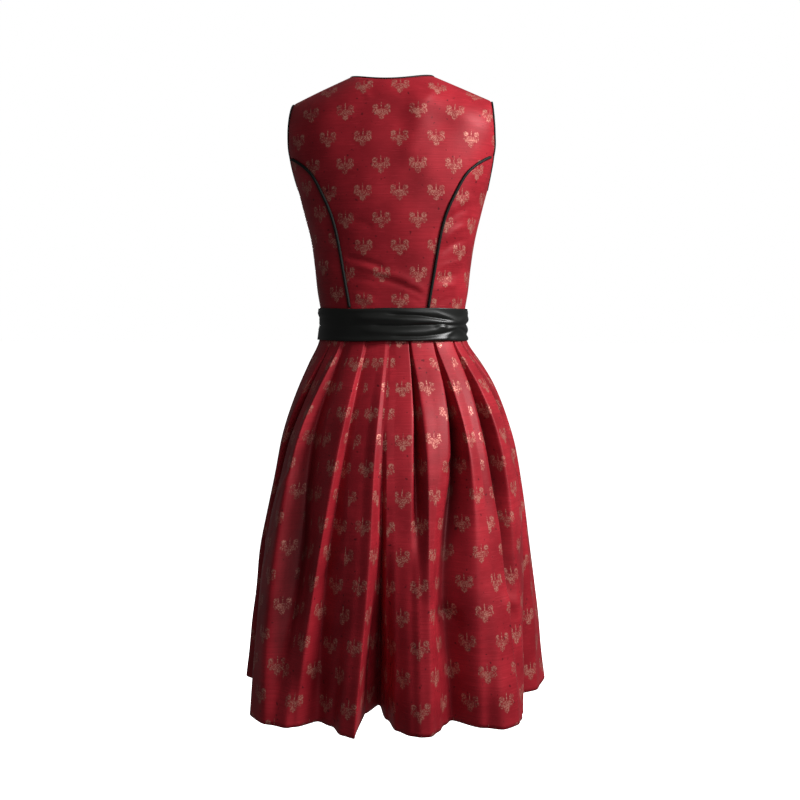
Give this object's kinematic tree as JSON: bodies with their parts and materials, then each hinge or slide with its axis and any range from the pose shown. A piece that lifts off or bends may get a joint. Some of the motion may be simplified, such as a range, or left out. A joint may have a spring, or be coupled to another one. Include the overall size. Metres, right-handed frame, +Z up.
{
  "type": "sleeveless dirndl dress",
  "caption": "Sleeveless knee-length dirndl in red brocade with black piping, a black satin sash and a pleated skirt, worn and hollow.",
  "frame": {"origin": "midway between the shoulder seams at the height of the neck points, where the wearer's shoulders hold the dress", "axes": "+Z up from the hem to the neck, +Y towards the back of the dress, -Y towards its front, +X towards the wearer's left"},
  "size_m": [0.5154, 0.5133, 1.0116],
  "materials": {
    "brocade": "satin",
    "piping": "satin",
    "sash": "satin"
  },
  "bodies": {
    "root": {"back_centre": "brocade", "back_side_left": "brocade", "back_side_right": "brocade", "front_side_left": "brocade", "front_side_right": "brocade", "front_centre_left": "brocade", "front_centre_right": "brocade", "piping_neck": "piping", "piping_armhole_left": "piping", "piping_armhole_right": "piping", "piping_back_left": "piping", "piping_back_right": "piping", "sash": "sash", "skirt_back": "brocade", "skirt_front": "brocade"}
  },
  "joints": []
}
